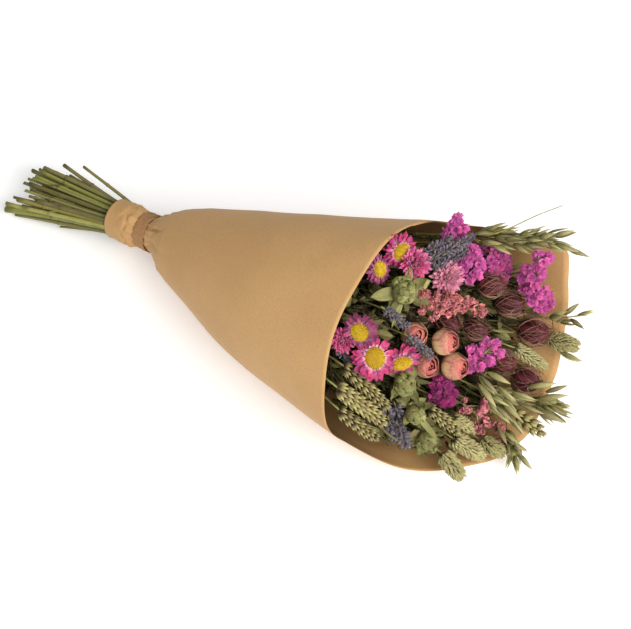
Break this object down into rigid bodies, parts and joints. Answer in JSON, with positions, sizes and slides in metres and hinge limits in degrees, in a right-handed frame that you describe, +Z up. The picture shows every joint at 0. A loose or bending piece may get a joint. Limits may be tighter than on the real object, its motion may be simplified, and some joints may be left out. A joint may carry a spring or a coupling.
{
  "type": "mixed dried flower bouquet in a paper cone",
  "caption": "Mixed dried flowers, seed pods and grasses tied in a rolled kraft paper cone, lying on its side.",
  "frame": {"origin": "on the floor, in the middle of the flat underside of the paper cone that the bouquet lies on", "axes": "+X from the cut stems toward the flowers, along the bouquet as it lies; +Z up; -Z out of the underside it rests on"},
  "size_m": [0.6613, 0.2522, 0.2255],
  "materials": {
    "kraft_paper": "matte, fibrous",
    "tie_paper": "matte, pleated",
    "dry_stems": "dry, matte",
    "pink_petals": "papery, satin",
    "yellow_disc": "matte, tufted",
    "rose_petals": "dry, matte",
    "seed_pod": "dry, ribbed",
    "green_bract": "dry, matte",
    "lavender_floret": "dry, matte",
    "statice_floret": "papery, matte",
    "coral_floret": "papery, matte",
    "wheat_ear": "dry, matte",
    "grass_head": "dry, matte",
    "oat_husk": "dry, matte"
  },
  "bodies": {
    "root": {"wrap": "kraft_paper", "tie_band": "tie_paper", "stems": "dry_stems", "daisy_1_petals": "pink_petals", "daisy_1_disc": "yellow_disc", "daisy_2_petals": "pink_petals", "daisy_3_petals": "pink_petals", "daisy_3_disc": "yellow_disc", "daisy_4_petals": "pink_petals", "daisy_4_disc": "yellow_disc", "daisy_5_petals": "pink_petals", "daisy_6_petals": "pink_petals", "daisy_6_disc": "yellow_disc", "daisy_7_petals": "pink_petals", "daisy_7_disc": "yellow_disc", "daisy_8_petals": "pink_petals", "rose_1": "rose_petals", "rose_2": "rose_petals", "rose_3": "rose_petals", "rose_4": "rose_petals", "nigella_1": "seed_pod", "nigella_2": "seed_pod", "nigella_3": "seed_pod", "nigella_4": "seed_pod", "nigella_5": "seed_pod", "nigella_6": "seed_pod", "nigella_7": "seed_pod", "bud_1": "green_bract", "bud_2": "green_bract", "bud_3": "green_bract", "bud_4": "green_bract", "lavender_1": "lavender_floret", "lavender_2": "lavender_floret", "lavender_3": "lavender_floret", "lavender_4": "lavender_floret", "lavender_5": "lavender_floret", "statice_1": "statice_floret", "statice_2": "statice_floret", "statice_3": "statice_floret", "statice_4": "statice_floret", "statice_5": "statice_floret", "statice_6": "statice_floret", "coral_1": "coral_floret", "coral_2": "coral_floret", "wheat_1": "wheat_ear", "wheat_2": "wheat_ear", "wheat_3": "wheat_ear", "wheat_4": "wheat_ear", "wheat_5": "wheat_ear", "canary_1": "grass_head", "canary_2": "grass_head", "canary_3": "grass_head", "canary_4": "grass_head", "canary_5": "grass_head", "canary_6": "grass_head", "oat_1": "oat_husk", "oat_2": "oat_husk", "oat_3": "oat_husk", "oat_4": "oat_husk", "oat_5": "oat_husk"}
  },
  "joints": []
}
